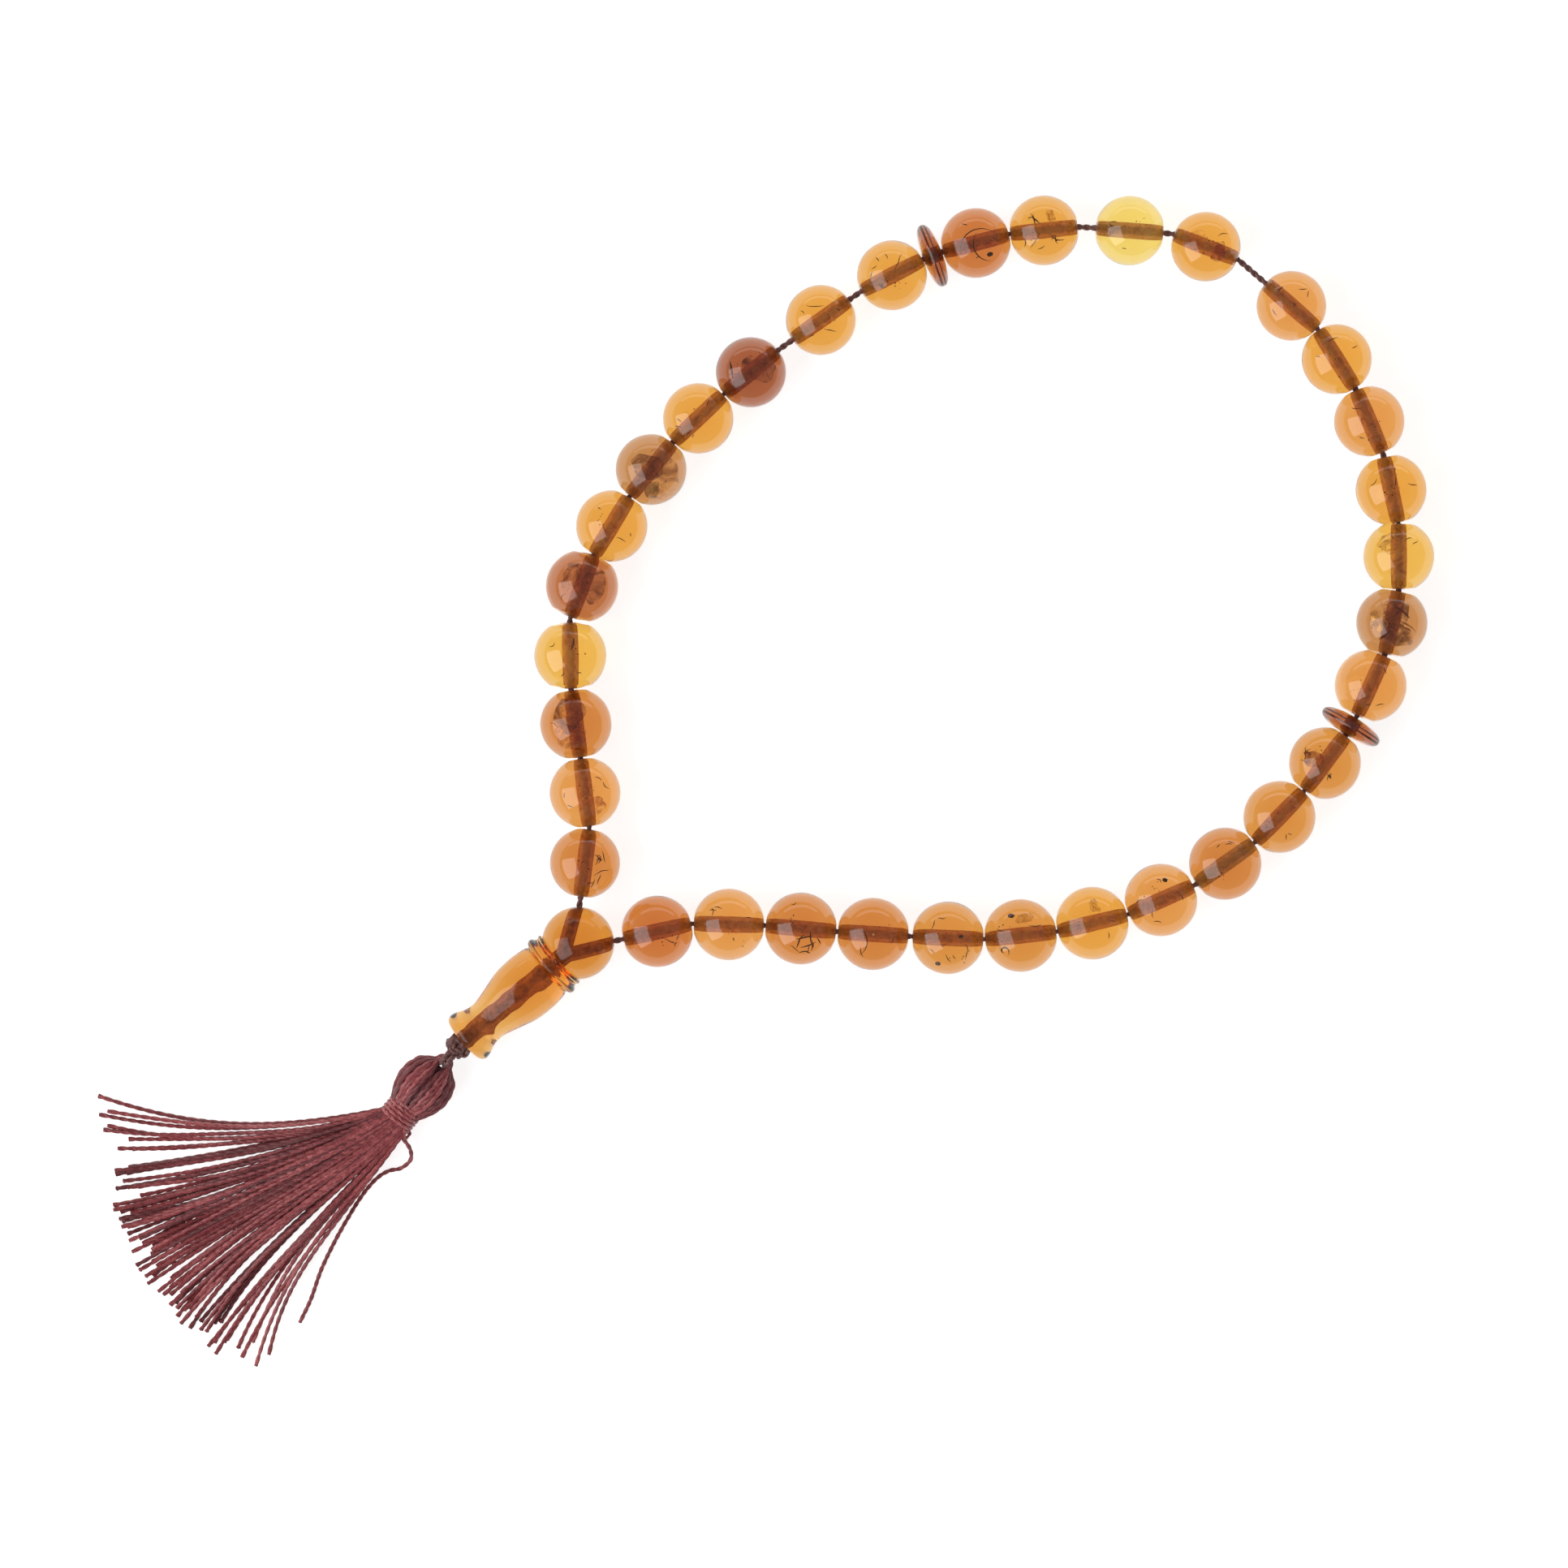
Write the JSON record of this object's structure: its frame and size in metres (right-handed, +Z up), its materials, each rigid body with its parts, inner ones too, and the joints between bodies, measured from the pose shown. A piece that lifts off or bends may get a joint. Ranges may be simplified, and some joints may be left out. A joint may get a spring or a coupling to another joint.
{
  "type": "misbaha prayer beads",
  "caption": "Loop of round translucent amber beads on a twisted cord, with two dividing discs, a three-hole leader bead, a turned stem and a silk tassel.",
  "frame": {"origin": "centre of the whole object's plan, on the surface it lies on", "axes": "+X along the string's length as it lies, +Y across it towards the far side of the loop, +Z up"},
  "size_m": [0.1911, 0.1684, 0.0104],
  "materials": {
    "amber_bead": "polished translucent amber",
    "dark_amber_disc": "polished dark amber",
    "amber_leader": "polished translucent amber",
    "brown_cord": "twisted two-ply cord",
    "burgundy_silk": "twisted silk thread"
  },
  "bodies": {
    "leader": {"leader_ball": "amber_leader", "leader_leg_1": "brown_cord", "leader_leg_2": "brown_cord", "leader_trunk": "brown_cord", "stopper_knot": "brown_cord"},
    "stem": {"leader_stem": "amber_leader"},
    "hanger": {"hanger_loop": "brown_cord"},
    "tassel": {"tassel_head": "burgundy_silk", "tassel_wrap": "burgundy_silk", "tassel_skirt": "burgundy_silk", "tie_tail": "burgundy_silk"},
    "link_1": {"string_cord_1": "brown_cord"},
    "link_2": {"string_cord_2": "brown_cord"},
    "link_3": {"string_cord_3": "brown_cord"},
    "link_4": {"string_cord_4": "brown_cord"},
    "link_9": {"string_cord_9": "brown_cord"},
    "link_8": {"string_cord_8": "brown_cord"},
    "link_7": {"string_cord_7": "brown_cord"},
    "link_6": {"string_cord_6": "brown_cord"},
    "link_5": {"string_cord_5": "brown_cord"},
    "bead_01": {"bead_01": "amber_bead"},
    "bead_02": {"bead_02": "amber_bead"},
    "bead_03": {"bead_03": "amber_bead"},
    "bead_04": {"bead_04": "amber_bead"},
    "bead_05": {"bead_05": "amber_bead"},
    "bead_06": {"bead_06": "amber_bead"},
    "bead_07": {"bead_07": "amber_bead"},
    "bead_08": {"bead_08": "amber_bead"},
    "bead_09": {"bead_09": "amber_bead"},
    "bead_10": {"bead_10": "amber_bead"},
    "bead_11": {"bead_11": "amber_bead"},
    "disc_1": {"disc_1": "dark_amber_disc"},
    "bead_12": {"bead_12": "amber_bead"},
    "bead_13": {"bead_13": "amber_bead"},
    "bead_14": {"bead_14": "amber_bead"},
    "bead_15": {"bead_15": "amber_bead"},
    "bead_16": {"bead_16": "amber_bead"},
    "bead_17": {"bead_17": "amber_bead"},
    "bead_18": {"bead_18": "amber_bead"},
    "bead_19": {"bead_19": "amber_bead"},
    "bead_20": {"bead_20": "amber_bead"},
    "bead_21": {"bead_21": "amber_bead"},
    "bead_22": {"bead_22": "amber_bead"},
    "disc_2": {"disc_2": "dark_amber_disc"},
    "bead_23": {"bead_23": "amber_bead"},
    "bead_24": {"bead_24": "amber_bead"},
    "bead_25": {"bead_25": "amber_bead"},
    "bead_26": {"bead_26": "amber_bead"},
    "bead_27": {"bead_27": "amber_bead"},
    "bead_28": {"bead_28": "amber_bead"},
    "bead_29": {"bead_29": "amber_bead"},
    "bead_30": {"bead_30": "amber_bead"},
    "bead_31": {"bead_31": "amber_bead"},
    "bead_32": {"bead_32": "amber_bead"},
    "bead_33": {"bead_33": "amber_bead"}
  },
  "joints": [
    {"name": "bend_loop", "type": "hinge", "parent": "leader", "child": "link_9", "pos_m": [-0.021, -0.0225, 0.0051], "axis": [0, 0, 1], "range_deg": [-20, 20]},
    {"name": "lift_tassel", "type": "hinge", "parent": "leader", "child": "hanger", "pos_m": [-0.04294, -0.0371, 0.00396], "axis": [-0.7604, 0.6494, 0], "range_deg": [0, 60]},
    {"name": "pivot_tassel", "type": "hinge", "parent": "hanger", "child": "tassel", "pos_m": [-0.04546, -0.04005, 0.0036], "axis": [0, 0, 1], "range_deg": [-35, 35]},
    {"name": "roll_stem", "type": "hinge", "parent": "leader", "child": "stem", "pos_m": [-0.0262, -0.0228, 0.00515], "axis": [-0.7593, -0.6485, -0.0541], "continuous": true},
    {"name": "bend_link_1", "type": "hinge", "parent": "leader", "child": "link_1", "pos_m": [-0.026, -0.0175, 0.0051], "axis": [0, 0, 1], "range_deg": [-15.14, 15.14]},
    {"name": "bend_link_2", "type": "hinge", "parent": "link_1", "child": "link_2", "pos_m": [-0.02739, 0.02304, 0.0051], "axis": [0, 0, 1], "range_deg": [-7.74, 7.74]},
    {"name": "bend_link_3", "type": "hinge", "parent": "link_2", "child": "link_3", "pos_m": [0.00222, 0.06134, 0.0051], "axis": [0, 0, 1], "range_deg": [-20.01, 20.01]},
    {"name": "bend_link_4", "type": "hinge", "parent": "link_3", "child": "link_4", "pos_m": [0.04487, 0.07881, 0.0051], "axis": [0, 0, 1], "range_deg": [-11.02, 11.02]},
    {"name": "bend_link_8", "type": "hinge", "parent": "link_9", "child": "link_8", "pos_m": [0.02095, -0.02185, 0.0051], "axis": [0, 0, 1], "range_deg": [-14.01, 14.01]},
    {"name": "bend_link_7", "type": "hinge", "parent": "link_8", "child": "link_7", "pos_m": [0.06135, -0.01457, 0.0051], "axis": [0, 0, 1], "range_deg": [-14.01, 14.01]},
    {"name": "bend_link_6", "type": "hinge", "parent": "link_7", "child": "link_6", "pos_m": [0.08423, 0.00921, 0.0051], "axis": [0, 0, 1], "range_deg": [-7.97, 7.97]},
    {"name": "bend_link_5", "type": "hinge", "parent": "link_6", "child": "link_5", "pos_m": [0.08805, 0.04651, 0.0051], "axis": [0, 0, 1], "range_deg": [-14.01, 14.01]},
    {"name": "spin_bead_01", "type": "hinge", "parent": "link_1", "child": "bead_01", "pos_m": [-0.02522, -0.01145, 0.005], "axis": [0.1282, 0.9918, 0], "continuous": true},
    {"name": "spin_bead_02", "type": "hinge", "parent": "link_1", "child": "bead_02", "pos_m": [-0.02522, -0.00151, 0.00505], "axis": [-0.1284, 0.9917, 0], "continuous": true},
    {"name": "spin_bead_03", "type": "hinge", "parent": "link_1", "child": "bead_03", "pos_m": [-0.02652, 0.00829, 0.0051], "axis": [-0.1353, 0.9908, 0], "continuous": true},
    {"name": "spin_bead_04", "type": "hinge", "parent": "link_1", "child": "bead_04", "pos_m": [-0.02729, 0.01806, 0.00515], "axis": [-0.0201, 0.9998, 0], "continuous": true},
    {"name": "spin_bead_05", "type": "hinge", "parent": "link_2", "child": "bead_05", "pos_m": [-0.02564, 0.0277, 0.00512], "axis": [0.3519, 0.936, 0], "continuous": true},
    {"name": "spin_bead_06", "type": "hinge", "parent": "link_2", "child": "bead_06", "pos_m": [-0.02143, 0.03636, 0.00509], "axis": [0.5169, 0.856, 0], "continuous": true},
    {"name": "spin_bead_07", "type": "hinge", "parent": "link_2", "child": "bead_07", "pos_m": [-0.01583, 0.04439, 0.00506], "axis": [0.6235, 0.7818, 0], "continuous": true},
    {"name": "spin_bead_08", "type": "hinge", "parent": "link_2", "child": "bead_08", "pos_m": [-0.00916, 0.05164, 0.00503], "axis": [0.7268, 0.6868, 0], "continuous": true},
    {"name": "spin_bead_09", "type": "hinge", "parent": "link_2", "child": "bead_09", "pos_m": [-0.00167, 0.05819, 0.005], "axis": [0.7776, 0.6287, 0], "continuous": true},
    {"name": "slide_bead_10", "type": "slide", "parent": "link_3", "child": "bead_10", "axis": [0.816, 0.5781, 0], "range_m": [-0.002, 0.0018]},
    {"name": "spin_bead_11", "type": "hinge", "parent": "link_3", "child": "bead_11", "pos_m": [0.01834, 0.07193, 0.00498], "axis": [0.8869, 0.4619, 0], "continuous": true},
    {"name": "spin_disc_1", "type": "hinge", "parent": "link_3", "child": "disc_1", "pos_m": [0.02409, 0.07474, 0.00485], "axis": [0.9341, 0.3571, 0], "continuous": true},
    {"name": "spin_bead_12", "type": "hinge", "parent": "link_3", "child": "bead_12", "pos_m": [0.03022, 0.07653, 0.00498], "axis": [0.9661, 0.258, 0], "continuous": true},
    {"name": "spin_bead_13", "type": "hinge", "parent": "link_3", "child": "bead_13", "pos_m": [0.03994, 0.07831, 0.00497], "axis": [0.9948, 0.1014, 0], "continuous": true},
    {"name": "slide_bead_14", "type": "slide", "parent": "link_4", "child": "bead_14", "axis": [0.9973, -0.0735, 0], "range_m": [-0.0018, 0.001]},
    {"name": "spin_bead_15", "type": "hinge", "parent": "link_4", "child": "bead_15", "pos_m": [0.06286, 0.076, 0.00495], "axis": [0.9307, -0.3659, 0], "continuous": true},
    {"name": "slide_bead_16", "type": "slide", "parent": "link_5", "child": "bead_16", "axis": [0.7521, -0.659, 0], "range_m": [-0.004, 0]},
    {"name": "spin_bead_17", "type": "hinge", "parent": "link_5", "child": "bead_17", "pos_m": [0.08143, 0.06003, 0.00499], "axis": [0.5335, -0.8458, 0], "continuous": true},
    {"name": "spin_bead_18", "type": "hinge", "parent": "link_5", "child": "bead_18", "pos_m": [0.08606, 0.0512, 0.00501], "axis": [0.3911, -0.9204, 0], "continuous": true},
    {"name": "spin_bead_19", "type": "hinge", "parent": "link_6", "child": "bead_19", "pos_m": [0.08915, 0.0416, 0.00503], "axis": [0.218, -0.9759, 0], "continuous": true},
    {"name": "spin_bead_20", "type": "hinge", "parent": "link_6", "child": "bead_20", "pos_m": [0.09023, 0.03204, 0.00505], "axis": [0.0039, -1, 0], "continuous": true},
    {"name": "spin_bead_21", "type": "hinge", "parent": "link_6", "child": "bead_21", "pos_m": [0.08925, 0.02264, 0.00507], "axis": [-0.2113, -0.9774, 0], "continuous": true},
    {"name": "spin_bead_22", "type": "hinge", "parent": "link_6", "child": "bead_22", "pos_m": [0.08625, 0.01364, 0.00509], "axis": [-0.4147, -0.91, 0], "continuous": true},
    {"name": "spin_disc_2", "type": "hinge", "parent": "link_7", "child": "disc_2", "pos_m": [0.08344, 0.00794, 0.00485], "axis": [-0.5263, -0.8503, 0], "continuous": true},
    {"name": "spin_bead_23", "type": "hinge", "parent": "link_7", "child": "bead_23", "pos_m": [0.07974, 0.00273, 0.00511], "axis": [-0.594, -0.8045, 0], "continuous": true},
    {"name": "spin_bead_24", "type": "hinge", "parent": "link_7", "child": "bead_24", "pos_m": [0.0733, -0.00489, 0.00513], "axis": [-0.6932, -0.7208, 0], "continuous": true},
    {"name": "spin_bead_25", "type": "hinge", "parent": "link_7", "child": "bead_25", "pos_m": [0.06561, -0.01154, 0.00515], "axis": [-0.8137, -0.5813, 0], "continuous": true},
    {"name": "spin_bead_26", "type": "hinge", "parent": "link_8", "child": "bead_26", "pos_m": [0.05651, -0.0167, 0.00517], "axis": [-0.9158, -0.4017, 0], "continuous": true},
    {"name": "spin_bead_27", "type": "hinge", "parent": "link_8", "child": "bead_27", "pos_m": [0.04676, -0.01998, 0.00518], "axis": [-0.9722, -0.2342, 0], "continuous": true},
    {"name": "spin_bead_28", "type": "hinge", "parent": "link_8", "child": "bead_28", "pos_m": [0.03658, -0.02173, 0.0052], "axis": [-0.9945, -0.1047, 0], "continuous": true},
    {"name": "spin_bead_29", "type": "hinge", "parent": "link_8", "child": "bead_29", "pos_m": [0.02624, -0.02206, 0.00518], "axis": [-0.9992, 0.0404, 0], "continuous": true},
    {"name": "spin_bead_30", "type": "hinge", "parent": "link_9", "child": "bead_30", "pos_m": [0.01568, -0.02151, 0.00516], "axis": [-0.9979, 0.0649, 0], "continuous": true},
    {"name": "spin_bead_31", "type": "hinge", "parent": "link_9", "child": "bead_31", "pos_m": [0.00541, -0.02074, 0.00514], "axis": [-0.9964, 0.0847, 0], "continuous": true},
    {"name": "spin_bead_32", "type": "hinge", "parent": "link_9", "child": "bead_32", "pos_m": [-0.00483, -0.02016, 0.00512], "axis": [-0.9996, 0.0268, 0], "continuous": true},
    {"name": "spin_bead_33", "type": "hinge", "parent": "link_9", "child": "bead_33", "pos_m": [-0.01499, -0.02115, 0.0051], "axis": [-0.9757, -0.219, 0], "continuous": true}
  ],
  "couplings": [
    {"joint": "bend_link_1", "follows": "bend_loop", "ratio": -0.7567},
    {"joint": "bend_link_2", "follows": "bend_loop", "ratio": 0.3866},
    {"joint": "bend_link_3", "follows": "bend_loop", "ratio": 1},
    {"joint": "bend_link_4", "follows": "bend_loop", "ratio": 0.5507},
    {"joint": "bend_link_8", "follows": "bend_loop", "ratio": -0.7},
    {"joint": "bend_link_7", "follows": "bend_loop", "ratio": -0.7},
    {"joint": "bend_link_6", "follows": "bend_loop", "ratio": -0.3982},
    {"joint": "bend_link_5", "follows": "bend_loop", "ratio": 0.7}
  ]
}
